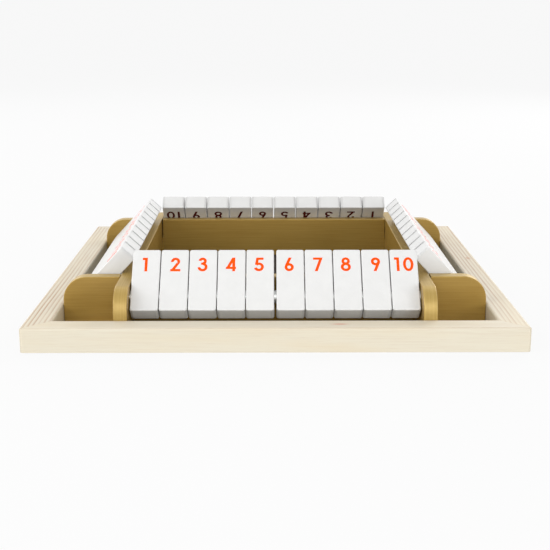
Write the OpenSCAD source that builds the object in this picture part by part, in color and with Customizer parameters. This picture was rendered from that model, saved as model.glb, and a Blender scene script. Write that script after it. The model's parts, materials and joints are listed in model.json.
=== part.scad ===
// Shut the box for four players. A square tray of mitred rails holds four rack
// boards, halved together where they cross. Their inner square is the felted
// dice box. A round rod runs outside each board, held in blind holes in the
// wings of the two boards that cross it, and carries a row of number tiles.
// A tile stands leaning in over the top of its board, and is shut by turning
// it outwards about the rod until its head lies on the tray rail.
//
// The origin is the centre of the underside, and +Z is up. Sides are counted
// from the front, anticlockwise from above.

/* [Tiles] */
// Tiles in each row
tiles_per_side = 10; // [6:1:11]
// Width of a tile along the rod
tile_w = 17.15; // [12:0.05:24]
// Thickness of a tile
tile_t = 11.4; // [9.5:0.1:14]
// Length of a tile from the rod's centre to its head
tile_head = 30.4; // [24:0.2:40]
// Length of a tile from the rod's centre to its tail
tile_tail = 12.2; // [9:0.1:16]
// Radius of the corners of a tile's number face
tile_corner_r = 1.3; // [0.8:0.1:3]
// Radius of a tile's eased edges
tile_edge_r = 0.7; // [0.3:0.1:2]
// Angle by which a standing tile leans in from upright
tile_lean = 43; // [35:1:50]
// Running gap between neighbouring tiles
tile_gap = 0.5; // [0.2:0.05:1]
// Free play of a row along its rod, which shows in the middle of the front row
row_play = 1.5; // [0.3:0.1:3]

/* [Rods] */
// Diameter of the rods
rod_d = 8; // [5:0.1:8.5]
// Depth of the blind holes that hold a rod's ends
rod_socket = 6; // [3:0.5:6.5]

/* [Rack boards] */
// Thickness of the rack boards
board_t = 8.5; // [7.5:0.1:12]
// Height of the rack boards
board_h = 29.8; // [28:0.1:40]
// Radius of the boards' upper outer corners
board_end_r = 15; // [5:0.5:20]
// Radius of the boards' eased edges
board_edge_r = 0.6; // [0.3:0.1:2]

/* [Tray] */
// Width of a rail seen from above
rail_w = 16.6; // [12:0.1:24]
// Height of a rail
rail_h = 15; // [12:0.5:18]
// Radius of the tray's upright outer corners
tray_corner_r = 2; // [0.5:0.5:6]
// Radius of the rails' eased top edges
rail_edge_r = 1.3; // [0.3:0.1:2]
// Free space between the tails of the standing tiles and the rail
finger_gap = 7.7; // [4:0.1:16]
// Thickness of the base panel
base_t = 3; // [2:0.5:6]
// Width of the rebate under each rail that takes the base panel
rebate_w = 6; // [3:0.5:10]
// Thickness of the felt in the dice box
felt_t = 1; // [0.5:0.1:3]

/* [Dice] */
// Size of a die
die_size = 16; // [10:0.5:20]
// How far the ball that rounds a die cuts its corners back
die_corner_cut = 2.7; // [1:0.1:4]
// Distance of the outer pips' centres from the edge of the face
pip_inset = 3.8; // [3:0.1:4.5]
// Diameter of a pip
pip_d = 3; // [1.5:0.1:3.5]
// Depth of a pip
pip_depth = 0.5; // [0.2:0.1:1]

/* [Fits] */
// Gap between a tile at rest and the edge of its board
rest_gap = 0.4; // [0.05:0.05:0.5]
// Gap between the end tile of a row and the board beside it
row_end_gap = 0.6; // [0.3:0.1:2]
// Gap between the heads of two rows where they meet at a corner
corner_gap = 0.35; // [0.2:0.05:1]
// Radial running clearance of the tiles on their rod
tile_clearance = 0.08; // [0.02:0.01:0.1]
// Radial clearance of a rod's end in its blind hole
socket_clearance = 0.04; // [0.01:0.01:0.1]
// Gap on each side of a board in the halving that takes it
halving_gap = 0.5; // [0.1:0.05:0.8]
// How far to the right the halvings of the front and back boards are off their boards
halving_shift = 0.2; // [0:0.05:0.4]
// Gap around the base panel and the felt, and at the ends of boards and rods
panel_gap = 0.2; // [0.05:0.05:0.5]

/* [Hidden] */
SIDES = ["front", "right", "back", "left"];
DICE = [1, 2];

$fn = 96;
cut = 1; // overshoot of a cutting shape

// Plan of one side, measured outwards from the centre of the tray
row_len = tiles_per_side * tile_w + (tiles_per_side - 2) * tile_gap + row_play;
box_half = row_len / 2 + row_end_gap;
board_out = box_half + board_t;
board_mid = box_half + board_t / 2;
head_in = row_len / 2 + corner_gap;
rod_out = head_in + tile_head * sin(tile_lean) + tile_t / 2 * cos(tile_lean);
tail_out = rod_out + tile_tail * sin(tile_lean) + tile_t / 2 * cos(tile_lean);
rail_in = tail_out + finger_gap;
tray_half = rail_in + rail_w;

// Heights above the underside
board_top = base_t + board_h;
halving_z = base_t + board_h / 2;
// The underside of a standing tile passes the board's eased outer edge at rest_gap
edge_out = board_out - board_edge_r;
edge_z = board_top - board_edge_r;
edge_to_rod = tile_t / 2 + rest_gap + board_edge_r;
rod_z = edge_z - ((rod_out - edge_out) * cos(tile_lean) - edge_to_rod) / sin(tile_lean);

// Pitch of the tiles on their rod. The front row has its play in the middle,
// and the other rows have it spread out
close_pitch = tile_w + tile_gap;
even_pitch = (row_len - tile_w) / (tiles_per_side - 1);
function from_middle(number) = number - (tiles_per_side + 1) / 2;
function tile_x(side, number) = side == 0
    ? from_middle(number) * close_pitch + sign(from_middle(number)) * (row_play - tile_gap) / 2
    : from_middle(number) * even_pitch;

wood = [0.89, 0.83, 0.73];
gold = [0.76, 0.62, 0.36];
steel = [0.75, 0.76, 0.75];
tile_white = [0.95, 0.95, 0.95];
felt_black = [0.13, 0.10, 0.08];

// Turns a piece drawn at the front to its own side
module at_side(side) {
    rotate([0, 0, 90 * side]) children();
}

// Rectangle from low to high with round corners
module rounded_rect(low, high, r) {
    translate(low + [r, 0]) square(high - low - [2 * r, 0]);
    translate(low + [0, r]) square(high - low - [0, 2 * r]);
    for (x = [low.x + r, high.x - r], y = [low.y + r, high.y - r])
        translate([x, y]) circle(r);
}

// Rectangle from low to high with only its two upper corners round
module round_top_rect(low, high, r) {
    translate(low) square(high - low - [0, r]);
    translate(low + [r, 0]) square(high - low - [2 * r, 0]);
    for (x = [low.x + r, high.x - r])
        translate([x, high.y - r]) circle(r);
}

// Upright block that keeps the front quarter of the plan, between the mitres
module front_quarter() {
    reach = tray_half + cut;
    translate([0, 0, -cut])
        linear_extrude(rail_h + 2 * cut)
            polygon([[0, 0], [-reach, -reach], [reach, -reach]]);
}

module tray_rail(side) {
    color(wood) at_side(side)
        intersection() {
            difference() {
                rotate([90, 0, 90])
                    linear_extrude(2 * tray_half, center = true)
                        round_top_rect([-tray_half, 0], [-rail_in, rail_h], rail_edge_r);
                translate([-tray_half, -rail_in - rebate_w, -cut])
                    cube([2 * tray_half, rebate_w + cut, base_t + cut]);
            }
            front_quarter();
            linear_extrude(rail_h)
                rounded_rect([-tray_half, -tray_half], [tray_half, tray_half], tray_corner_r);
        }
}

module base_panel() {
    half = rail_in + rebate_w - panel_gap;
    color(wood)
        translate([-half, -half, 0])
            cube([2 * half, 2 * half, base_t]);
}

module felt_mat() {
    half = box_half - panel_gap;
    color(felt_black)
        translate([-half, -half, base_t])
            cube([2 * half, 2 * half, felt_t]);
}

// Blind holes for the ends of the two rods that a board's wings carry. They
// open towards the middle of the tray
module rod_sockets() {
    for (x = [-rod_out, rod_out])
        translate([x, -box_half + cut, rod_z])
            rotate([90, 0, 0])
                cylinder(r = rod_d / 2 + socket_clearance, h = rod_socket + cut);
}

// Halvings that take the two boards which cross this one
module halvings(low_z, shift) {
    slot_w = board_t + 2 * halving_gap;
    for (x = [-board_mid, board_mid])
        translate([x + shift - slot_w / 2, -board_out - cut, low_z])
            cube([slot_w, board_t + 2 * cut, board_h / 2 + cut]);
}

// Board with all its upper edges eased: a middle of full height, a lower part
// out to the ends, and a quarter of a thick disc with an eased rim in each
// upper corner. Its half length keeps to hundredths, so that they meet exactly
module board_blank() {
    half = floor((rail_in - panel_gap) * 100) / 100;
    corner_x = half - board_end_r;
    corner_z = board_top - board_end_r;
    rotate([90, 0, 90])
        linear_extrude(2 * corner_x, center = true)
            round_top_rect([-board_out, base_t], [-box_half, board_top], board_edge_r);
    translate([0, 0, base_t])
        linear_extrude(corner_z - base_t)
            rounded_rect([-half, -board_out], [half, -box_half], board_edge_r);
    for (end = [0, 1])
        translate([end == 0 ? corner_x : -corner_x, -box_half, corner_z])
            rotate([90, 0, 0])
                rotate([0, 0, 90 * end])
                    rotate_extrude(angle = 90)
                        intersection() {
                            rounded_rect([-board_end_r, 0], [board_end_r, board_t], board_edge_r);
                            square([board_end_r, board_t]);
                        }
}

// The front and back boards are slotted from above, and the left and right
// boards, slotted from below, drop over them
module rack_board(side) {
    color(gold) at_side(side)
        difference() {
            board_blank();
            rod_sockets();
            if (side == 0) halvings(halving_z, halving_shift);
            else if (side == 2) halvings(halving_z, -halving_shift);
            else halvings(base_t - cut, 0);
        }
}

module rod(side) {
    half = box_half + rod_socket - panel_gap;
    color(steel) at_side(side)
        translate([-half, -rod_out, rod_z])
            rotate([0, 90, 0])
                cylinder(d = rod_d, h = 2 * half);
}

// One tile about its rod: the head towards +Y, the number face towards +Z.
// Three extruded outlines meet, so that all twelve edges are eased
module tile_blank() {
    half_w = tile_w / 2;
    half_t = tile_t / 2;
    intersection() {
        rotate([90, 0, 90])
            linear_extrude(tile_w, center = true)
                rounded_rect([-tile_tail, -half_t], [tile_head, half_t], tile_edge_r);
        linear_extrude(tile_t, center = true)
            rounded_rect([-half_w, -tile_tail], [half_w, tile_head], tile_corner_r);
        translate([0, tile_head, 0])
            rotate([90, 0, 0])
                linear_extrude(tile_head + tile_tail)
                    rounded_rect([-half_w, -half_t], [half_w, half_t], tile_edge_r);
    }
}

module tile(side, number) {
    color(tile_white) at_side(side)
        translate([tile_x(side, number), -rod_out, rod_z])
            rotate([90 - tile_lean, 0, 0])
                difference() {
                    tile_blank();
                    rotate([0, 90, 0])
                        cylinder(r = rod_d / 2 + tile_clearance, h = tile_w + 2 * cut, center = true);
                }
}

// Places of the pips of each number on a face, in steps from its middle
PIP_PLACES = [
    [[0, 0]],
    [[-1, -1], [1, 1]],
    [[-1, -1], [0, 0], [1, 1]],
    [[-1, -1], [-1, 1], [1, -1], [1, 1]],
    [[-1, -1], [-1, 1], [0, 0], [1, -1], [1, 1]],
    [[-1, -1], [-1, 0], [-1, 1], [1, -1], [1, 0], [1, 1]],
];
// Turn that brings each number's face to the top. Opposite faces add up to seven
FACE_TURNS = [[0, 0, 0], [90, 0, 0], [0, 90, 0], [0, -90, 0], [-90, 0, 0], [180, 0, 0]];

// A pip is a shallow cap of a ball
module pip() {
    ball_r = (pow(pip_d / 2, 2) + pow(pip_depth, 2)) / (2 * pip_depth);
    translate([0, 0, die_size / 2 + ball_r - pip_depth]) sphere(ball_r, $fn = 32);
}

module die_body() {
    pip_step = die_size / 2 - pip_inset;
    corner_reach = die_size / 2 * sqrt(3);
    difference() {
        intersection() {
            cube(die_size, center = true);
            sphere(corner_reach - die_corner_cut);
        }
        for (face = [0 : 5])
            rotate(FACE_TURNS[face])
                for (place = PIP_PLACES[face])
                    translate(place * pip_step) pip();
    }
}

// Place of each die on the felt, its turn seen from above, and the number it shows
DIE_PLACES = [[-32, -34], [27, -20]];
DIE_TURNS = [24, -13];
DIE_SHOWS = [4, 3];

module die(index) {
    color(tile_white)
        translate([DIE_PLACES[index].x, DIE_PLACES[index].y, base_t + felt_t + die_size / 2])
            rotate([0, 0, DIE_TURNS[index]])
                rotate(-FACE_TURNS[DIE_SHOWS[index] - 1])
                    die_body();
}

for (side = [0 : 3]) {
    tray_rail(side);
    rack_board(side);
    rod(side);
    for (number = [1 : tiles_per_side])
        tile(side, number);
}
base_panel();
felt_mat();
for (index = [0 : len(DICE) - 1])
    die(index);
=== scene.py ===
"""Dresses a shut the box game for four players: tray, boards, rods, tiles, felt and dice."""

import json
import math

import bpy
from mathutils import Matrix, Vector


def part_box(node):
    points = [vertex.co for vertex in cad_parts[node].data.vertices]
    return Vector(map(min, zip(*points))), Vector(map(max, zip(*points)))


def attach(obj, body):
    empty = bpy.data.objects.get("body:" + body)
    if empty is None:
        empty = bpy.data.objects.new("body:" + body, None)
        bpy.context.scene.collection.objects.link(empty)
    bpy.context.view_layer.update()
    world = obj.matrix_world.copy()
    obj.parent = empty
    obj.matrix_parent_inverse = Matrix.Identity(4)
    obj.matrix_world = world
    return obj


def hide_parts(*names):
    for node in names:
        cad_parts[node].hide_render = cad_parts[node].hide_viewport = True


bl_info = {
    "name": "Shut the Box for Four",
    "version": (1, 0, 0),
    "blender": (4, 5, 0),
    "location": "View3D > Sidebar > Shut the Box",
    "description": "Models a shut the box game for four players, piece by piece",
    "category": "Object",
}

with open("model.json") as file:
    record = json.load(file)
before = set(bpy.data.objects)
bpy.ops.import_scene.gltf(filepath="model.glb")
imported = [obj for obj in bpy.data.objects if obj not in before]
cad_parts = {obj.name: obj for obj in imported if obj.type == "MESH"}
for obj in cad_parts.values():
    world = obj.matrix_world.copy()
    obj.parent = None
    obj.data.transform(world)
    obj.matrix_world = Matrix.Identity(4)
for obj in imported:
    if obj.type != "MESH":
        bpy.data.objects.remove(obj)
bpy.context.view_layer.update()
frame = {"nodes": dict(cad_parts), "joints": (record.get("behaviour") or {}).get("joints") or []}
# The hinge of each tile
TILE_JOINTS = {joint["child"]: joint for joint in frame["joints"] if joint["type"] == "hinge"}

MM = 0.001
# Every second side runs from front to back instead of from left to right
SIDES = ("front", "right", "back", "left")

# Corners this near to each other are one, and a corner this near to a surface lies on it
WELD = 0.001 * MM
TOUCH = 0.01 * MM
# Faces whose slopes differ by less than this many degrees are one flat face
FLAT_ANGLE = 0.4
# Corners of a round rod or bore, and how many times longer than its hole a cutter is
ROUND = 72
CUTTER_REACH = 1.2


def linear(red, green, blue):
    """A colour as a screen shows it, 0 to 255, turned into the values that shaders use."""
    return tuple(
        c / 12.92 if c <= 0.04045 else ((c + 0.055) / 1.055) ** 2.4
        for c in (red / 255, green / 255, blue / 255)
    )


# ---------------------------------------------------------------- settings


def length(name, description, default):
    return bpy.props.FloatProperty(
        name=name, description=description, default=default, min=0.0, unit="LENGTH", precision=5
    )


def colour(name, description, default):
    return bpy.props.FloatVectorProperty(
        name=name,
        description=description,
        default=default,
        size=3,
        min=0.0,
        max=1.0,
        subtype="COLOR",
    )


class ShutBoxSizes(bpy.types.PropertyGroup):
    """Sizes of the details that the solids don't settle."""

    tile_corner: length("Tile corner", "Radius of the corners of a tile's number face", 1.3 * MM)
    tile_edge: length("Tile edge", "Radius of a tile's eased edges", 0.7 * MM)
    bore_chamfer: length("Bore chamfer", "Chamfer round the mouths of a tile's bore", 0.3 * MM)
    number_height: length("Number height", "Height of the numbers on the tiles", 9.7 * MM)
    margin_above: length("Margin above", "From a tile's head to the number on its upper face", 5.8 * MM)
    margin_below: length("Margin below", "From a tile's head to the number on its under face", 5.3 * MM)
    print_thickness: length("Print thickness", "How far the printed numbers stand proud", 0.012 * MM)
    wood_edge: length("Wood edge", "Wear along the sharp edges of the tray's wood", 0.22 * MM)
    board_edge: length("Board edge", "Wear along the sharp edges of the rack boards", 0.12 * MM)
    rod_chamfer: length("Rod chamfer", "Chamfer on the ends of the rods", 0.5 * MM)
    die_edge: length("Die edge", "Radius of the edges of the dice", 0.25 * MM)
    ring_spacing: length("Ring spacing", "Distance between the growth rings of the tray's wood", 2.7 * MM)


class ShutBoxColours(bpy.types.PropertyGroup):
    """Colours of the finishes."""

    wood: colour("Wood", "Pale wood between its growth rings", linear(202, 195, 177))
    wood_ring: colour("Wood rings", "Darker wood of the growth rings", linear(167, 136, 109))
    gold: colour("Gold", "Gold paint on the faces of the rack boards", linear(162, 132, 66))
    gold_deep: colour("Deep gold", "The same paint where the brush left it thin", linear(138, 106, 44))
    # The edge golds are lighter than the face golds: painted highlight on the boards' edges and rounded
    # ends.
    highlit_gold_edge: colour("Gold edges", "Thicker gold paint on the boards' edges", linear(175, 149, 86))
    highlit_gold_edge_deep: colour("Deep gold edges", "The same paint between its strokes", linear(150, 120, 57))
    tile: colour("Tiles", "White lacquer of the tiles", linear(207, 207, 206))
    number: colour("Numbers", "Paint of the numbers on the upper faces", linear(250, 84, 12))
    number_below: colour("Numbers below", "Paint of the numbers on the under faces", linear(78, 15, 23))
    felt: colour("Felt", "Felt of the dice box", linear(34, 26, 18))
    steel: colour("Steel", "Steel of the rods", linear(214, 216, 214))
    die: colour("Dice", "Body of the dice", linear(244, 243, 238))
    pip: colour("Pips", "Paint in the pips of the dice", linear(24, 22, 22))


def sizes():
    """The sizes as they are set now."""
    return bpy.context.scene.shut_box_sizes


def colours():
    """The colours as they are set now."""
    return bpy.context.scene.shut_box_colours


# ---------------------------------------------------------------- finishes

# The sockets of a Mix node that blends colours, which share their names with others
MIX_SHARE, MIX_FIRST, MIX_SECOND = 0, 6, 7
MIX_RESULT = 2


class Wire:
    """A value inside a finish. Each sum on it adds a Math node."""

    def __init__(self, finish, socket):
        self.finish = finish
        self.socket = socket

    def sum(self, operation, first, second):
        return self.finish.add("ShaderNodeMath", {"operation": operation}, {0: first, 1: second})

    def __add__(self, other):
        return self.sum("ADD", self, other)

    def __radd__(self, other):
        return self.sum("ADD", other, self)

    def __sub__(self, other):
        return self.sum("SUBTRACT", self, other)

    def __rsub__(self, other):
        return self.sum("SUBTRACT", other, self)

    def __mul__(self, other):
        return self.sum("MULTIPLY", self, other)

    def __rmul__(self, other):
        return self.sum("MULTIPLY", other, self)

    def __truediv__(self, other):
        return self.sum("DIVIDE", self, other)

    def __rtruediv__(self, other):
        return self.sum("DIVIDE", other, self)


class Finish:
    """A material, and the nodes that make its pattern."""

    def __init__(self, name, base, **sockets):
        self.material = bpy.data.materials.new(name)
        self.material.use_nodes = True
        self.tree = self.material.node_tree
        self.shader = self.tree.nodes["Principled BSDF"]
        self.material.diffuse_color = (*base, 1)
        self.show(Base_Color=(*base, 1), **sockets)
        self.place = self.add("ShaderNodeTexCoord", out="Object")

    def fill(self, node, sockets):
        for key, value in sockets.items():
            if isinstance(value, Wire):
                self.tree.links.new(value.socket, node.inputs[key])
            else:
                node.inputs[key].default_value = value

    def add(self, kind, settings=None, sockets=None, out=0):
        """A node of that kind. Settings come first, then the values or wires of its sockets."""
        node = self.tree.nodes.new(kind)
        for key, value in (settings or {}).items():
            if key == "stops":
                while len(node.color_ramp.elements) < len(value):
                    node.color_ramp.elements.new(0.5)
                for element, (position, level) in zip(node.color_ramp.elements, value):
                    element.position = position
                    element.color = (level, level, level, 1)
            else:
                setattr(node, key, value)
        self.fill(node, sockets or {})
        return Wire(self, node.outputs[out])

    def noise(self, per_metre, detail=2.0, place=None, roughness=0.5):
        """Noise from 0 to 1, with that many waves in a metre along each axis."""
        stretched = self.add(
            "ShaderNodeMapping", None, {"Vector": place or self.place, "Scale": per_metre}
        )
        return self.add(
            "ShaderNodeTexNoise",
            None,
            {"Vector": stretched, "Scale": 1.0, "Detail": detail, "Roughness": roughness},
        )

    def steps(self, value, stops):
        """The value read off a curve, given as (position, level) pairs."""
        return self.add("ShaderNodeValToRGB", {"stops": stops}, {"Fac": value})

    def blend(self, share, first, second):
        """One colour laid over another."""
        first, second = ((*c, 1) if isinstance(c, tuple) else c for c in (first, second))
        return self.add(
            "ShaderNodeMix",
            {"data_type": "RGBA", "clamp_factor": True},
            {MIX_SHARE: share, MIX_FIRST: first, MIX_SECOND: second},
            out=MIX_RESULT,
        )

    def relief(self, height, depth):
        """A surface that rises and falls by depth as the height goes from 0 to 1."""
        return self.add(
            "ShaderNodeBump", None, {"Height": height, "Distance": depth, "Strength": 1.0}
        )

    def show(self, **sockets):
        """Puts values and patterns on the shader's sockets, and returns the material."""
        self.fill(self.shader, {name.replace("_", " "): value for name, value in sockets.items()})
        return self.material


# Knots on top of the rails: their place in the game, half length, half width and colour
KNOTS = {
    "front": [((38.2 * MM, -142.2 * MM, 15 * MM), 4.0 * MM, 0.8 * MM, linear(184, 100, 78))],
    "right": [((145.2 * MM, 28.6 * MM, 15 * MM), 3.0 * MM, 1.3 * MM, linear(178, 140, 112))],
    "back": [((-61.0 * MM, 143.1 * MM, 15 * MM), 3.2 * MM, 1.0 * MM, linear(186, 150, 118))],
    "left": [],
}
# How strongly the growth rings show on each rail, and on the panel below the felt
RING_STRENGTHS = {"front": 0.6, "right": 1.3, "back": 1.0, "left": 1.3, "panel": 0.6}
# How far the growth rings sway from side to side, and how much they lean as they rise
RING_SWAY = 2.6 * MM
RING_LEAN = 0.07
# Tone from one growth ring to the next: pale early wood, then a dark line with a sharp far side
RING_TONES = [(0.0, 0.18), (0.12, 0.0), (0.45, 0.12), (0.8, 0.85), (0.9, 1.0), (1.0, 0.18)]


def wood_finish(name, turned, shift, knots, ring_strength):
    """Pale straight-grained wood whose growth rings stand nearly upright along the piece."""
    paint = colours()
    wood = Finish(name, tuple(paint.wood), Roughness=0.5, Specular_IOR_Level=0.35)
    turn = (0, 0, math.radians(90) if turned else 0)
    grain = wood.add(
        "ShaderNodeMapping", None, {"Vector": wood.place, "Location": shift, "Rotation": turn}
    )
    split = wood.add("ShaderNodeSeparateXYZ", None, {0: grain}).socket.node
    across, up = (Wire(wood, split.outputs[axis]) for axis in ("Y", "Z"))
    sway = wood.noise((7, 30, 34), 2, grain) - 0.5
    rings_passed = (across + up * RING_LEAN + sway * RING_SWAY) / sizes().ring_spacing
    ring_place = wood.add("ShaderNodeMath", {"operation": "FRACT"}, {0: rings_passed})
    dark_line = wood.steps(ring_place, RING_TONES)
    ring_depth = wood.steps(wood.noise((5, 210, 90), 1, grain), [(0.3, 0.25), (0.7, 1.0)])
    fibre = wood.noise((45, 1900, 1900), 3, grain)
    dashes = wood.steps(wood.noise((110, 2600, 2600), 1, grain), [(0.62, 0.0), (0.72, 1.0)])
    cloud = wood.noise((14, 60, 90), 2, grain)
    rings = dark_line * ring_depth * (0.8 * ring_strength)
    share = rings + (fibre - 0.5) * 0.55 + dashes * 0.12
    tone = wood.blend(share, tuple(paint.wood), tuple(paint.wood_ring))
    warm = tuple(c * f for c, f in zip(paint.wood, (1.0, 0.93, 0.82)))
    tone = wood.blend(wood.steps(cloud, [(0.42, 0.0), (0.75, 0.6)]), tone, warm)
    for centre, half_length, half_width, knot_tone in knots:
        stretch = (1 / half_width, 1 / half_length, 1 / half_width)
        if not turned:
            stretch = (1 / half_length, 1 / half_width, 1 / half_width)
        offset = wood.add(
            "ShaderNodeVectorMath", {"operation": "SUBTRACT"}, {0: wood.place, 1: centre}
        )
        offset = wood.add(
            "ShaderNodeVectorMath", {"operation": "MULTIPLY"}, {0: offset, 1: stretch}
        )
        reach = wood.add("ShaderNodeVectorMath", {"operation": "LENGTH"}, {0: offset}, out="Value")
        ragged = reach * 0.5 + (fibre - 0.5) * 0.2
        spot = wood.steps(ragged, [(0.3, 0.85), (0.6, 0.25), (0.9, 0.0)])
        tone = wood.blend(spot, tone, knot_tone)
    return wood.show(
        Base_Color=tone,
        Roughness=0.44 + fibre * 0.16,
        Normal=wood.relief(fibre * 0.6 + dark_line * 0.4, 0.03 * MM),
    )


# Waves in a metre along a brush stroke and across it, on the boards' broad faces and their edges
FACE_STROKES = (26, 2000)
EDGE_STROKES = (14, 1500)
# How rough each is, and the tint of their shine
FACE_ROUGHNESS = 0.25
EDGE_ROUGHNESS = 0.33
GOLD_SHINE = (1.0, 0.84, 0.5, 1.0)


def gold_finish(name, per_metre, base, deep, roughness):
    """Satin gold paint. Its brush strokes run along the axes that have few waves in a metre."""
    gold = Finish(
        name,
        base,
        Metallic=0.3,
        Coat_Weight=0.3,
        Coat_Roughness=0.26,
        Specular_Tint=GOLD_SHINE,
    )
    strokes = gold.noise(per_metre, 4, roughness=0.6)
    wide = gold.noise(tuple(w * 0.28 for w in per_metre), 2)
    cloud = gold.noise((28, 28, 28), 2)
    share = (strokes - 0.5) * 1.7 + (wide - 0.5) * 0.15 + cloud * 0.6
    return gold.show(
        Base_Color=gold.blend(share, base, deep),
        Roughness=roughness + strokes * 0.1 + cloud * 0.05,
        Normal=gold.relief(strokes, 0.010 * MM),
    )


def tile_finish():
    """White lacquer with a faint unevenness."""
    paint = colours()
    tile = Finish(
        "white_lacquer",
        tuple(paint.tile),
        Specular_IOR_Level=0.45,
        Coat_Weight=0.25,
        Coat_Roughness=0.18,
    )
    cloud = tile.noise((130, 130, 130), 2)
    peel = tile.noise((420, 420, 420), 2)
    speck = tile.noise((2600, 2600, 2600), 1)
    dull = tuple(c * 0.955 for c in paint.tile)
    clouded = tile.steps(cloud, [(0.35, 0.0), (0.7, 0.75)])
    return tile.show(
        Base_Color=tile.blend(clouded, tuple(paint.tile), dull),
        Roughness=0.30 + cloud * 0.14,
        Normal=tile.relief(peel * 0.85 + speck * 0.15, 0.035 * MM),
    )


def number_finish(name, base):
    """Printed paint, a little thicker in some places than in others."""
    shine = tuple(0.05 + 0.9 * c for c in base)
    ink = Finish(name, base, Specular_IOR_Level=0.5, Specular_Tint=(*shine, 1))
    cloud = ink.noise((600, 600, 600), 2)
    deep = tuple(c * 0.9 for c in base)
    return ink.show(
        Base_Color=ink.blend(cloud, base, deep),
        Roughness=0.24 + cloud * 0.1,
        Normal=ink.relief(cloud, 0.004 * MM),
    )


def steel_finish():
    """Bright drawn steel with fine scratches and faint stains."""
    paint = colours()
    steel = Finish("drawn_steel", tuple(paint.steel), Metallic=1.0)
    lines = steel.noise((900, 900, 900), 3)
    stain = steel.noise((60, 60, 60), 2)
    return steel.show(
        Base_Color=steel.blend(stain, tuple(paint.steel), tuple(c * 0.8 for c in paint.steel)),
        Roughness=0.34 + lines * 0.12 + stain * 0.08,
        Normal=steel.relief(lines, 0.006 * MM),
    )


def felt_finish():
    """Dense brown-black felt with loose fibres on top."""
    paint = colours()
    felt = Finish(
        "dark_felt",
        tuple(paint.felt),
        Specular_IOR_Level=0.06,
        Sheen_Weight=0.05,
        Sheen_Roughness=0.6,
    )
    nap = felt.noise((1700, 1700, 1700), 4, roughness=0.7)
    curl = felt.noise((520, 520, 520), 3, roughness=0.7)
    cloud = felt.noise((26, 26, 26), 2)
    light = tuple(min(1.0, c * 2.2) for c in paint.felt)
    share = (nap - 0.45) * 1.4 + (curl - 0.5) * 0.9 + (cloud - 0.5) * 0.5
    return felt.show(
        Base_Color=felt.blend(share, tuple(paint.felt), light),
        Roughness=0.86 + nap * 0.12,
        Normal=felt.relief(nap * 0.5 + curl * 0.5, 0.25 * MM),
    )


def die_finish():
    """Polished white plastic."""
    paint = colours()
    die = Finish(
        "die_plastic",
        tuple(paint.die),
        Specular_IOR_Level=0.5,
        Coat_Weight=0.3,
        Coat_Roughness=0.08,
    )
    cloud = die.noise((180, 180, 180), 2)
    return die.show(
        Base_Color=die.blend(cloud, tuple(paint.die), tuple(c * 0.95 for c in paint.die)),
        Roughness=0.18 + cloud * 0.1,
        Normal=die.relief(cloud, 0.01 * MM),
    )


# ---------------------------------------------------------------- modelling


def deselect():
    """Leaves edit mode, with nothing selected."""
    if bpy.context.mode != "OBJECT":
        bpy.ops.object.mode_set(mode="OBJECT")
    bpy.ops.object.select_all(action="DESELECT")


def only(piece):
    """Leaves edit mode, with just this piece selected and active."""
    deselect()
    piece.select_set(True)
    bpy.context.view_layer.objects.active = piece


def pick(piece, kind, test):
    """Opens the piece in edit mode with the edges or faces selected whose corners pass the test."""
    only(piece)
    bpy.ops.object.mode_set(mode="EDIT")
    bpy.ops.mesh.select_mode(type=kind)
    bpy.ops.mesh.select_all(action="DESELECT")
    bpy.ops.object.mode_set(mode="OBJECT")
    mesh = piece.data
    chosen = 0
    for part in mesh.edges if kind == "EDGE" else mesh.polygons:
        part.select = test([mesh.vertices[i].co for i in part.vertices])
        chosen += part.select
    if not chosen:
        raise RuntimeError(f"nothing to shape on {piece.name}")
    bpy.ops.object.mode_set(mode="EDIT")


def settle(piece, scale=None):
    """Puts the piece's place, turn and scale into its mesh."""
    only(piece)
    if scale:
        piece.scale = scale
    bpy.ops.object.transform_apply(location=True, rotation=True, scale=True)
    return piece


def apply_modifier(piece, kind, **settings):
    """Adds a modifier with those settings and applies it."""
    only(piece)
    bpy.ops.object.modifier_add(type=kind)
    modifier = piece.modifiers[-1]
    for key, value in settings.items():
        setattr(modifier, key, value)
    bpy.ops.object.modifier_apply(modifier=modifier.name)
    return piece


def ease(piece, width, sharper_than, segments=2):
    """Rounds the edges that turn by more than that many degrees."""
    return apply_modifier(
        piece,
        "BEVEL",
        width=width,
        segments=segments,
        limit_method="ANGLE",
        angle_limit=math.radians(sharper_than),
    )


def round_picked(width, segments):
    """Rounds what is selected, and leaves edit mode."""
    bpy.ops.mesh.bevel(offset=width, segments=segments, profile=0.5, affect="EDGES")
    bpy.ops.object.mode_set(mode="OBJECT")


def discard(piece):
    """Takes a piece and its mesh out of the scene."""
    mesh = piece.data
    bpy.data.objects.remove(piece)
    bpy.data.meshes.remove(mesh)


def combine(piece, other, operation):
    """Cuts the other piece away, or adds it, and discards it."""
    apply_modifier(piece, "BOOLEAN", operation=operation, solver="EXACT", object=other)
    discard(other)
    return piece


def copy_piece(piece, name):
    """A copy with a mesh of its own."""
    twin = piece.copy()
    twin.data = piece.data.copy()
    twin.name = twin.data.name = name
    bpy.context.scene.collection.objects.link(twin)
    return twin


def face_outwards(piece):
    """Turns a closed shape right side out. Adding shapes together can turn it inside out."""
    mesh = piece.data
    mesh.calc_loop_triangles()
    volume = 0.0
    for triangle in mesh.loop_triangles:
        first, second, third = (mesh.vertices[i].co for i in triangle.vertices)
        volume += first.dot(second.cross(third))
    if volume < 0:
        only(piece)
        bpy.ops.object.mode_set(mode="EDIT")
        bpy.ops.mesh.select_all(action="SELECT")
        bpy.ops.mesh.flip_normals()
        bpy.ops.object.mode_set(mode="OBJECT")


def soften(piece, angle=35, weighted=True):
    """Smooth shading over shallow edges, with flat faces kept flat."""
    only(piece)
    bpy.ops.object.shade_smooth_by_angle(angle=math.radians(angle))
    if weighted:
        apply_modifier(piece, "WEIGHTED_NORMAL", keep_sharp=True, weight=100)
    return piece


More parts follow.
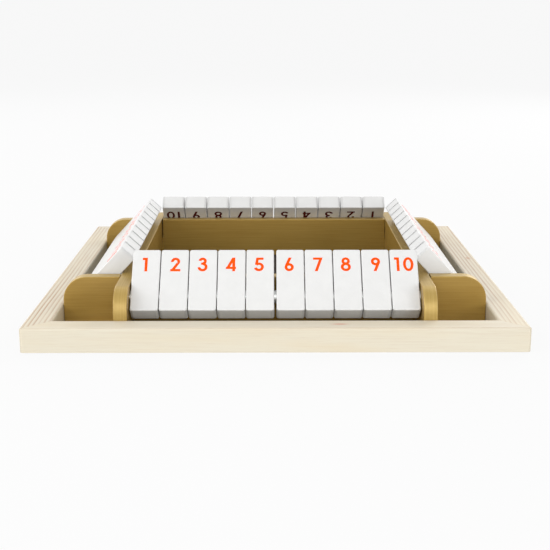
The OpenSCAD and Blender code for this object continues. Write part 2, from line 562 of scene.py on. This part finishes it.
def copy_of_node(node, name):
    """A whole mesh made from a solid of the frame, which stays as it is."""
    mesh = frame["nodes"][node].data.copy()
    mesh.name = name
    mesh.materials.clear()
    piece = bpy.data.objects.new(name, mesh)
    bpy.context.scene.collection.objects.link(piece)
    only(piece)
    bpy.ops.mesh.customdata_custom_splitnormals_clear()
    bpy.ops.object.mode_set(mode="EDIT")
    bpy.ops.mesh.select_all(action="SELECT")
    bpy.ops.mesh.remove_doubles(threshold=WELD)
    bpy.ops.mesh.dissolve_limited(angle_limit=math.radians(FLAT_ANGLE))
    bpy.ops.object.mode_set(mode="OBJECT")
    return piece


def hand_over(piece, body, nodes, finishes):
    """Gives the piece its finishes, its body and the nodes that it stands for."""
    piece.data.materials.clear()
    for finish in finishes:
        piece.data.materials.append(finish)
    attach(piece, body)
    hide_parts(*nodes)
    return piece


# ---------------------------------------------------------------- numbers

# The numbers are drawn this high, standing on height 0, with strokes about this wide and slabs
# this thick. What one unit comes to on a tile follows from the number height in the settings.
DRAWN_HEIGHT = 9.7
STROKE = 1.75
SLAB = 1.0
# Corners of the drawing this near to each other are one, or lie on the same line
DRAWN_WELD = 0.0005
DRAWN_TOUCH = 0.0001
# Corners of a round stroke, and degrees between the corners of a bent one
DISC_CORNERS = 64
BEND_STEP = 6
# Thickness of a number before half of it is sunk into its tile
NUMBER_SLAB = 0.4 * MM


def bar(left, bottom, width, height, lean=0.0):
    """A straight stroke with level ends, whose top is pushed sideways by lean."""
    deselect()
    bpy.ops.mesh.primitive_cube_add(size=1, location=(left + width / 2, bottom + height / 2, 0))
    piece = settle(bpy.context.object, (width, height, SLAB))
    if lean:
        top = bottom + height
        pick(piece, "FACE", lambda corners: all(abs(c.y - top) < DRAWN_TOUCH for c in corners))
        bpy.ops.transform.translate(value=(lean, 0, 0))
        bpy.ops.object.mode_set(mode="OBJECT")
    return piece


def disc(x, y, width, height, depth=SLAB):
    """A round or oval slab about (x, y)."""
    deselect()
    bpy.ops.mesh.primitive_cylinder_add(
        vertices=DISC_CORNERS, radius=0.5, depth=1, location=(x, y, 0)
    )
    return settle(bpy.context.object, (width, height, depth))


def ring(x, y, width, height, stroke=STROKE):
    """A closed round stroke."""
    hole = disc(x, y, width - 2 * stroke, height - 2 * stroke, 2 * SLAB)
    return combine(disc(x, y, width, height), hole, "DIFFERENCE")


def arc(x, y, radius, start, end, stroke=STROKE):
    """A bent stroke about (x, y), anticlockwise from start to end in degrees."""
    first = math.radians(start)
    sweep = end - start
    middle = radius - stroke / 2
    deselect()
    bpy.ops.mesh.primitive_plane_add(
        size=1,
        location=(x + middle * math.cos(first), y + middle * math.sin(first), 0),
        rotation=(math.radians(90), 0, first),
    )
    piece = settle(bpy.context.object, (stroke, SLAB, 1))
    bpy.ops.object.mode_set(mode="EDIT")
    bpy.ops.mesh.select_all(action="SELECT")
    bpy.ops.mesh.spin(
        steps=round(sweep / BEND_STEP),
        angle=math.radians(sweep),
        center=(x, y, 0),
        axis=(0, 0, -1),
    )
    bpy.ops.mesh.select_all(action="SELECT")
    bpy.ops.mesh.normals_make_consistent(inside=False)
    bpy.ops.object.mode_set(mode="OBJECT")
    return piece


def upright_one(left):
    """The figure 1, with the left side of its stem at that place."""
    return [bar(left, 0, STROKE, DRAWN_HEIGHT), bar(left - 1.4, 8.05, 1.6, 1.65)]


def one():
    return upright_one(-0.55)


def two():
    return [
        arc(0.05, 6.93, 2.8, -34, 188),
        bar(-3.25, 0, 2.1, 5.9, 3.85),
        bar(-3.0, 0, 6.2, 1.65),
    ]


def three():
    return [
        arc(-0.05, 7.2, 2.55, -92, 172),
        arc(0.0, 3.05, 3.1, -176, 92),
        bar(-0.95, 4.65, 1.0, 1.55),
    ]


def four():
    return [
        bar(0.9, 0, STROKE, DRAWN_HEIGHT),
        bar(-3.0, 1.6, 6.2, 1.6),
        bar(-3.3, 1.6, 1.96, 8.1, 4.1),
    ]


def five():
    return [
        bar(-1.65, 8.1, 4.45, 1.6),
        bar(-2.5, 4.55, 1.75, 5.1, 0.85),
        arc(-0.05, 3.1, 3.1, -164, 140),
    ]


def six():
    return [ring(0, 2.85, 5.7, 5.7), bar(-2.8, 3.55, 1.9, 6.15, 2.45)]


def seven():
    return [bar(-2.95, 8.1, 5.65, 1.6), bar(-2.05, 0, 1.85, DRAWN_HEIGHT, 3.25)]


def eight():
    return [ring(0, 7.15, 5.2, 5.2, 1.65), ring(0, 2.98, 6.2, 6.0)]


def nine():
    return [ring(0, 6.85, 5.7, 5.7), bar(-1.5, 0, 1.9, 6.15, 2.45)]


def ten():
    return upright_one(-4.7) + [ring(2.6, 4.87, 6.5, 9.9)]


# How each number is drawn, and how many millimetres right of its tile's middle it is printed
NUMBERS = {
    1: (one, -0.45),
    2: (two, 0.35),
    3: (three, -0.4),
    4: (four, -0.5),
    5: (five, -0.75),
    6: (six, -0.65),
    7: (seven, -0.45),
    8: (eight, -0.8),
    9: (nine, 0.1),
    10: (ten, 0.15),
}


def draw_number(number):
    """The number as one flat solid, in metres, standing on height 0."""
    draw, _ = NUMBERS[number]
    piece, *strokes = draw()
    for stroke in strokes:
        combine(piece, stroke, "UNION")
    only(piece)
    bpy.ops.object.mode_set(mode="EDIT")
    bpy.ops.mesh.select_all(action="SELECT")
    bpy.ops.mesh.remove_doubles(threshold=DRAWN_WELD)
    bpy.ops.mesh.dissolve_limited(angle_limit=math.radians(FLAT_ANGLE))
    bpy.ops.mesh.normals_make_consistent(inside=False)
    bpy.ops.object.mode_set(mode="OBJECT")
    unit = sizes().number_height / DRAWN_HEIGHT
    return settle(piece, (unit, unit, NUMBER_SLAB / SLAB))


# ---------------------------------------------------------------- tiles


def flat_sides(mesh):
    """The directions that a mesh's faces look in, from the least area to the most."""
    sides = {}
    for face in mesh.polygons:
        key = tuple(round(c, 2) for c in face.normal)
        sides[key] = sides.get(key, Vector()) + face.normal * face.area
    return [side.normalized() for side in sorted(sides.values(), key=lambda side: side.length)]


def tile_place(node):
    """Where a tile goes, from a frame of its own about its rod.

    X runs along the rod, Y towards the tile's head and Z out of its upper number face.
    """
    joint = TILE_JOINTS[node]
    broad = flat_sides(frame["nodes"][node].data)[-2:]
    outward = max(broad, key=lambda side: side.z)
    rod = Vector(joint["axis"]).normalized()
    head = outward.cross(rod)
    place = Matrix((rod, head, outward)).transposed().to_4x4()
    place.translation = Vector(joint["pos_m"])
    return place


def model_blank(low, high, bore):
    """A tile in its own frame: a block with round corners and eased edges, bored for the rod."""
    size = high - low

    def on_broad_face(corner):
        return abs(abs(corner.z) - size.z / 2) < TOUCH

    def at_bore_mouth(corner):
        on_side = abs(abs(corner.x) - size.x / 2) < TOUCH
        return on_side and abs(math.hypot(corner.y, corner.z) - bore) < TOUCH

    deselect()
    bpy.ops.mesh.primitive_cube_add(size=1, location=(low + high) / 2)
    blank = settle(bpy.context.object, size)
    pick(blank, "EDGE", lambda ends: abs(ends[0].z - ends[1].z) > size.z / 2)
    round_picked(sizes().tile_corner, segments=7)
    pick(blank, "EDGE", lambda ends: all(on_broad_face(end) for end in ends))
    round_picked(sizes().tile_edge, segments=4)
    deselect()
    bpy.ops.mesh.primitive_cylinder_add(
        vertices=ROUND,
        radius=bore,
        depth=size.x * CUTTER_REACH,
        rotation=(0, math.radians(90), 0),
    )
    combine(blank, settle(bpy.context.object), "DIFFERENCE")
    pick(blank, "EDGE", lambda ends: all(at_bore_mouth(end) for end in ends))
    round_picked(sizes().bore_chamfer, segments=2)
    return blank


def print_above(number, head, face):
    """The number on the upper face of a tile, standing upright with the head at the top."""
    _, shift = NUMBERS[number]
    mark = draw_number(number)
    foot = head - sizes().margin_above - sizes().number_height
    lift = face + sizes().print_thickness - NUMBER_SLAB / 2
    mark.matrix_world = Matrix.Translation((shift * MM, foot, lift))
    return settle(mark)


def print_below(number, head, face):
    """The number on the under face of a tile, turned over so that the head is at its foot."""
    mark = draw_number(number)
    foot = head - sizes().margin_below
    lift = face + sizes().print_thickness - NUMBER_SLAB / 2
    turn = Matrix.Rotation(math.radians(180), 4, "X")
    mark.matrix_world = Matrix.Translation((0, foot, -lift)) @ turn
    return settle(mark)


def paint_all(piece, finishes, slot):
    """Gives the piece all the finishes, and that one of them to each of its faces."""
    piece.data.materials.clear()
    for finish in finishes:
        piece.data.materials.append(finish)
    for face in piece.data.polygons:
        face.material_index = slot


class SHUT_BOX_OT_tiles(bpy.types.Operator):
    """Model the forty number tiles and hang them on their rods"""

    bl_idname = "shut_box.tiles"
    bl_label = "Number Tiles"

    def execute(self, context):
        paint = colours()
        finishes = [
            tile_finish(),
            number_finish("number_orange", tuple(paint.number)),
            number_finish("number_maroon", tuple(paint.number_below)),
        ]
        home = tile_place("tile_front_1").inverted()
        corners = [home @ v.co for v in frame["nodes"]["tile_front_1"].data.vertices]
        low, high = (Vector([f(c[i] for c in corners) for i in range(3)]) for f in (min, max))
        bore = min(math.hypot(c.y, c.z) for c in corners)
        blank = model_blank(low, high, bore)
        for number in NUMBERS:
            above = print_above(number, high.y, high.z)
            below = print_below(number, high.y, high.z)
            numbered = copy_piece(blank, "numbered_blank")
            for slot, piece in enumerate((numbered, above, below)):
                paint_all(piece, finishes, slot)
            combine(numbered, above, "UNION")
            combine(numbered, below, "UNION")
            face_outwards(numbered)
            soften(numbered)
            for side in SIDES:
                node = f"tile_{side}_{number}"
                tile = copy_piece(numbered, f"{side}_tile_{number}")
                tile.data.transform(tile_place(node))
                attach(tile, node)
                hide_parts(node)
            discard(numbered)
        discard(blank)
        return {"FINISHED"}


# ---------------------------------------------------------------- tray

# Edges of the wood that turn by more than this many degrees are worn
WOOD_WORN_FROM = 40
# How far the first rail's grain is moved along, across and up, and how much further each next
# one's, so that no two match
GRAIN_START = (70 * MM, -0.3 * MM, 0)
GRAIN_STEP = (310 * MM, 11.3 * MM, 13 * MM)
PANEL_GRAIN = (500 * MM, 20 * MM, 0)


class SHUT_BOX_OT_rails(bpy.types.Operator):
    """Model the four mitred rails of the tray"""

    bl_idname = "shut_box.rails"
    bl_label = "Tray Rails"

    def execute(self, context):
        for index, side in enumerate(SIDES):
            node = f"tray_rail_{side}"
            rail = copy_of_node(node, f"{side}_rail")
            ease(rail, sizes().wood_edge, WOOD_WORN_FROM)
            soften(rail)
            shift = tuple(start + step * index for start, step in zip(GRAIN_START, GRAIN_STEP))
            finish = wood_finish(
                f"rail_wood_{side}", index % 2 == 1, shift, KNOTS[side], RING_STRENGTHS[side]
            )
            hand_over(rail, "root", [node], [finish])
        return {"FINISHED"}


class SHUT_BOX_OT_base(bpy.types.Operator):
    """Model the thin panel let into the rails"""

    bl_idname = "shut_box.base"
    bl_label = "Base Panel"

    def execute(self, context):
        panel = copy_of_node("base_panel", "floor_panel")
        ease(panel, sizes().wood_edge, WOOD_WORN_FROM)
        soften(panel)
        finish = wood_finish("panel_wood", False, PANEL_GRAIN, [], RING_STRENGTHS["panel"])
        hand_over(panel, "root", ["base_panel"], [finish])
        return {"FINISHED"}


# Squares along each side of the felt, the share of its thickness that its waves leave, and the
# length and height of the waves
FELT_SQUARES = 60
FELT_BODY = 0.94
WAVE_LENGTH = 20 * MM
WAVE_HEIGHT = 0.1 * MM


class SHUT_BOX_OT_felt(bpy.types.Operator):
    """Lay the felt in the dice box"""

    bl_idname = "shut_box.felt"
    bl_label = "Felt"

    def execute(self, context):
        low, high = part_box("felt_mat")
        deselect()
        bpy.ops.mesh.primitive_grid_add(
            x_subdivisions=FELT_SQUARES,
            y_subdivisions=FELT_SQUARES,
            size=1,
            location=((low.x + high.x) / 2, (low.y + high.y) / 2, low.z),
        )
        felt = settle(bpy.context.object, (high.x - low.x, high.y - low.y, 1))
        felt.name = felt.data.name = "felt_sheet"
        apply_modifier(felt, "SOLIDIFY", thickness=(high.z - low.z) * FELT_BODY, offset=1)
        waves = bpy.data.textures.new("felt_waves", type="CLOUDS")
        waves.noise_scale = WAVE_LENGTH
        apply_modifier(
            felt,
            "DISPLACE",
            texture=waves,
            strength=WAVE_HEIGHT,
            mid_level=0.0,
            direction="Z",
            texture_coords="LOCAL",
        )
        soften(felt, weighted=False)
        hand_over(felt, "root", ["felt_mat"], [felt_finish()])
        return {"FINISHED"}


# Edges of the boards that turn by more than this many degrees are worn, and a face that looks
# this squarely along the board's thickness is one of its two broad faces
BOARD_WORN_FROM = 50
BROAD_FACE = 0.7


class SHUT_BOX_OT_boards(bpy.types.Operator):
    """Model the four rack boards that cross at the corners of the dice box"""

    bl_idname = "shut_box.boards"
    bl_label = "Rack Boards"

    def execute(self, context):
        paint = colours()
        for index, side in enumerate(SIDES):
            node = f"rack_board_{side}"
            board = copy_of_node(node, f"{side}_board")
            ease(board, sizes().board_edge, BOARD_WORN_FROM)
            soften(board)
            run, thickness = (1, 0) if index % 2 else (0, 1)
            face_waves = [FACE_STROKES[1]] * 3
            face_waves[run] = FACE_STROKES[0]
            edge_waves = [EDGE_STROKES[0]] * 3
            edge_waves[thickness] = EDGE_STROKES[1]
            faces = gold_finish(
                f"gold_faces_{side}",
                tuple(face_waves),
                tuple(paint.gold),
                tuple(paint.gold_deep),
                FACE_ROUGHNESS,
            )
            # The edges get the lighter gold, which is painted highlight.
            edges = gold_finish(
                f"highlit_gold_edges_{side}",
                tuple(edge_waves),
                tuple(paint.highlit_gold_edge),
                tuple(paint.highlit_gold_edge_deep),
                EDGE_ROUGHNESS,
            )
            hand_over(board, "root", [node], [faces, edges])
            for face in board.data.polygons:
                face.material_index = 0 if abs(face.normal[thickness]) > BROAD_FACE else 1
        return {"FINISHED"}


class SHUT_BOX_OT_rods(bpy.types.Operator):
    """Turn the four steel rods that the tiles hang on"""

    bl_idname = "shut_box.rods"
    bl_label = "Rods"

    def execute(self, context):
        finish = steel_finish()
        for index, side in enumerate(SIDES):
            low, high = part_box(f"rod_{side}")
            size = high - low
            deselect()
            bpy.ops.mesh.primitive_cylinder_add(
                vertices=ROUND,
                radius=size.z / 2,
                depth=max(size.x, size.y),
                location=(low + high) / 2,
                rotation=(math.radians(90), 0, 0 if index % 2 else math.radians(90)),
            )
            rod = settle(bpy.context.object)
            rod.name = rod.data.name = f"{side}_rod"
            pick(rod, "FACE", lambda corners: len(corners) == ROUND)
            round_picked(sizes().rod_chamfer, segments=2)
            soften(rod)
            hand_over(rod, "root", [f"rod_{side}"], [finish])
        return {"FINISHED"}


# The ball that rounds a die cuts its corners back this far. A face that lies deeper in the ball
# than the slack, and isn't on one of the die's six flat sides, belongs to a pip
DIE_CORNER_CUT = 2.7 * MM
BALL_SLACK = 0.12 * MM
# Cosine of the angle within which a face lies on a flat side
FLAT_SIDE = 0.9995
# Edges of the dice that turn by more than this many degrees are rounded
DIE_ROUND_FROM = 15


class SHUT_BOX_OT_dice(bpy.types.Operator):
    """Finish the two dice"""

    bl_idname = "shut_box.dice"
    bl_label = "Dice"

    def execute(self, context):
        body = die_finish()
        pips = number_finish("pip_black", tuple(colours().pip))
        for number in (1, 2):
            node = f"die_{number}"
            low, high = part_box(node)
            die = copy_of_node(node, f"dice_box_die_{number}")
            hand_over(die, node, [node], [body, pips])
            centre = (low + high) / 2
            corner = (high.z - low.z) / 2 * math.sqrt(3)
            inside = corner - DIE_CORNER_CUT - BALL_SLACK
            sides = flat_sides(die.data)[-6:]
            for face in die.data.polygons:
                flat = max(face.normal.dot(side) for side in sides) > FLAT_SIDE
                in_pip = not flat and (face.center - centre).length < inside
                face.material_index = 1 if in_pip else 0
            ease(die, sizes().die_edge, DIE_ROUND_FROM, segments=3)
            soften(die)
        return {"FINISHED"}


# ---------------------------------------------------------------- stage


WHITE = (1, 1, 1, 1)

# The floor, whose edge sweeps up: how much each step widens the last one, and how far it rises
FLOOR_RADIUS = 3.0
FLOOR_CORNERS = 128
FLOOR_SWEEP = ((1.3, 0.12), (1.18, 0.5), (1.06, 0.9), (1.0, 1.4))
# Its paper is dark and glows, so that it looks evenly white, with no bright patches
PAPER = (0.06, 0.06, 0.06)
PAPER_DEEP = (0.058, 0.058, 0.058)
PAPER_GLOW = 0.89

# Strength of the light that comes from all round
ROOM_LIGHT = 0.62

# The softboxes: place in metres, side of the square and watts. All face the middle of the game
SOFTBOXES = {
    "left_softbox": ((-1.087, -0.761, 0.915), 0.7, 6.8),
    "left_fill": ((-1.461, -0.258, 0.619), 0.7, 6.2),
    "front_softbox": ((0.0, -1.501, 0.818), 0.8, 5.4),
    "front_low_softbox": ((0.0, -1.669, 0.344), 0.5, 2.0),
    "right_low_softbox": ((1.006, -1.199, 0.353), 0.5, 5.4),
    "back_left_softbox": ((-0.965, 1.150, 0.818), 0.9, 5.0),
    "back_right_softbox": ((0.965, 1.150, 0.818), 0.9, 14.2),
    "top_softbox": ((0.0, 0.85, 1.49), 1.2, 2.5),
}
GAME_MIDDLE = (0, 0, 0.02)

# The camera: place, degrees that it looks down and to the right, lens and sensor in millimetres
CAMERA_PLACE = (-4.167 * MM, -749.27 * MM, 197.35 * MM)
CAMERA_DIP = 14.083
CAMERA_TURN = 0.36
CAMERA_LENS = 69.92
CAMERA_SENSOR = 36


def soft_light(name, place, side, watts):
    """A square softbox that faces the middle of the game."""
    deselect()
    facing = (Vector(GAME_MIDDLE) - Vector(place)).to_track_quat("-Z", "Y").to_euler()
    bpy.ops.object.light_add(type="AREA", location=place, rotation=facing)
    lamp = bpy.context.object
    lamp.name = lamp.data.name = name
    lamp.data.shape = "SQUARE"
    lamp.data.size = side
    lamp.data.energy = watts


def model_floor():
    """A round floor of pale paper, with its edge swept up all round the game."""
    deselect()
    bpy.ops.mesh.primitive_circle_add(
        vertices=FLOOR_CORNERS, radius=FLOOR_RADIUS, fill_type="NGON", location=(0, 0, 0)
    )
    floor = bpy.context.object
    floor.name = floor.data.name = "studio_floor"
    for reach, rise in FLOOR_SWEEP:
        only(floor)
        bpy.ops.object.mode_set(mode="EDIT")
        bpy.ops.mesh.select_mode(type="EDGE")
        bpy.ops.mesh.select_all(action="DESELECT")
        bpy.ops.mesh.select_non_manifold()
        bpy.ops.mesh.extrude_edges_move(TRANSFORM_OT_translate={"value": (0, 0, rise)})
        bpy.ops.transform.resize(value=(reach, reach, 1), center_override=(0, 0, 0))
        bpy.ops.object.mode_set(mode="OBJECT")
    soften(floor, angle=60, weighted=False)
    paper = Finish(
        "studio_paper",
        PAPER,
        Roughness=0.9,
        Specular_IOR_Level=0.0,
        Emission_Strength=PAPER_GLOW,
    )
    tooth = paper.noise((3, 3, 3), 2)
    floor.data.materials.append(
        paper.show(
            Base_Color=paper.blend(tooth, PAPER, PAPER_DEEP),
            Emission_Color=WHITE,
        )
    )


def light_room(scene):
    """Even white light from all round."""
    scene.world = scene.world or bpy.data.worlds.new("studio_world")
    scene.world.use_nodes = True
    background = scene.world.node_tree.nodes["Background"]
    background.inputs["Color"].default_value = WHITE
    background.inputs["Strength"].default_value = ROOM_LIGHT


def place_camera(scene):
    """A camera in front of the game, a little above it."""
    deselect()
    bpy.ops.object.camera_add(
        location=CAMERA_PLACE,
        rotation=(math.radians(90 - CAMERA_DIP), 0, math.radians(-CAMERA_TURN)),
    )
    camera = bpy.context.object
    camera.name = camera.data.name = "studio_camera"
    camera.data.lens = CAMERA_LENS
    camera.data.sensor_width = CAMERA_SENSOR
    camera.data.sensor_fit = "HORIZONTAL"
    camera.data.clip_start = 10 * MM
    scene.camera = camera
    scene.view_settings.view_transform = "Standard"
    scene.view_settings.look = "None"


class SHUT_BOX_OT_stage(bpy.types.Operator):
    """Set the pale floor, the soft studio light and the camera"""

    bl_idname = "shut_box.stage"
    bl_label = "Stage"

    def execute(self, context):
        model_floor()
        light_room(context.scene)
        for name, (place, side, watts) in SOFTBOXES.items():
            soft_light(name, place, side, watts)
        place_camera(context.scene)
        return {"FINISHED"}


# ---------------------------------------------------------------- add-on


OPERATORS = (
    SHUT_BOX_OT_stage,
    SHUT_BOX_OT_rails,
    SHUT_BOX_OT_base,
    SHUT_BOX_OT_felt,
    SHUT_BOX_OT_boards,
    SHUT_BOX_OT_rods,
    SHUT_BOX_OT_tiles,
    SHUT_BOX_OT_dice,
)


class SHUT_BOX_PT_panel(bpy.types.Panel):
    """Lists the settings and the pieces of the game"""

    bl_idname = "SHUT_BOX_PT_panel"
    bl_label = "Shut the Box for Four"
    bl_space_type = "VIEW_3D"
    bl_region_type = "UI"
    bl_category = "Shut the Box"

    def draw(self, context):
        layout = self.layout
        for title, group in (("Sizes", sizes()), ("Colours", colours())):
            box = layout.box()
            box.label(text=title)
            for key in group.bl_rna.properties.keys():
                if key not in ("rna_type", "name"):
                    box.prop(group, key)
        column = layout.column(align=True)
        for operator in OPERATORS:
            column.operator(operator.bl_idname)


CLASSES = (ShutBoxSizes, ShutBoxColours, *OPERATORS, SHUT_BOX_PT_panel)


def register():
    for cls in CLASSES:
        bpy.utils.register_class(cls)
    bpy.types.Scene.shut_box_sizes = bpy.props.PointerProperty(type=ShutBoxSizes)
    bpy.types.Scene.shut_box_colours = bpy.props.PointerProperty(type=ShutBoxColours)


def unregister():
    del bpy.types.Scene.shut_box_colours
    del bpy.types.Scene.shut_box_sizes
    for cls in reversed(CLASSES):
        bpy.utils.unregister_class(cls)


def main():
    """Makes the game."""
    register()
    bpy.ops.shut_box.stage()
    bpy.ops.shut_box.rails()
    bpy.ops.shut_box.base()
    bpy.ops.shut_box.felt()
    bpy.ops.shut_box.boards()
    bpy.ops.shut_box.rods()
    bpy.ops.shut_box.tiles()
    bpy.ops.shut_box.dice()


if __name__ == "__main__":
    main()
